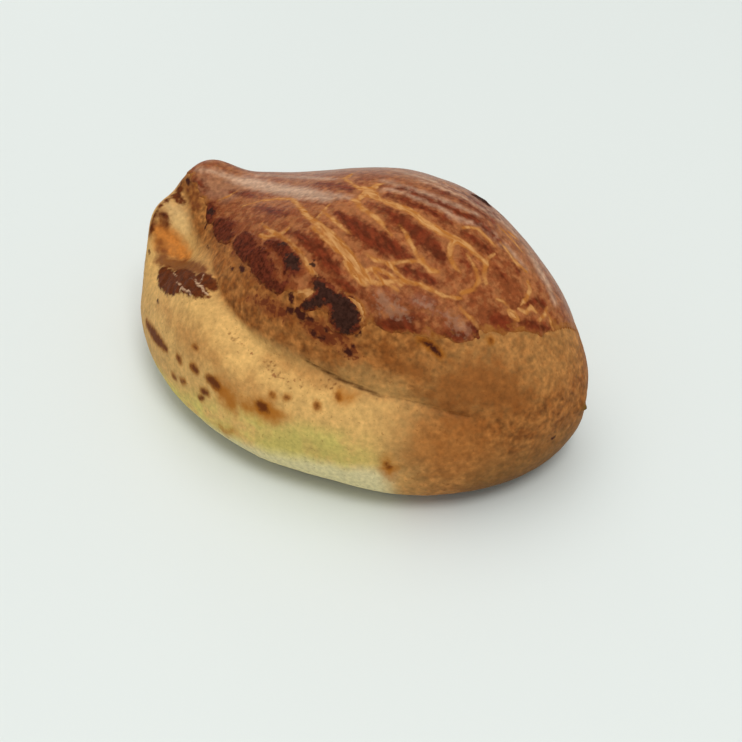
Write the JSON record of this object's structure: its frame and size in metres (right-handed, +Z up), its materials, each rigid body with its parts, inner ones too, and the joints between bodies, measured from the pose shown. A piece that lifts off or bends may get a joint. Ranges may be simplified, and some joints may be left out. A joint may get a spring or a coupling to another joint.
{
  "type": "cheese pogaca",
  "caption": "Oval folded bread bun with a pinched blunt end, a tapered end, a pressed front seam over a rolled lower lip, a domed egg-washed crust and a flat base.",
  "frame": {"origin": "middle of the bun's box, on its flat base", "axes": "+X along the length towards the tapered end, -Y towards the pressed seam and the rolled lip, +Y towards the fold, +Z up"},
  "size_m": [0.1026, 0.0668, 0.0491],
  "materials": {
    "crust": "baked golden crust with a glossy red-brown egg wash on top"
  },
  "bodies": {
    "root": {"folded_dough": "crust"}
  },
  "joints": []
}
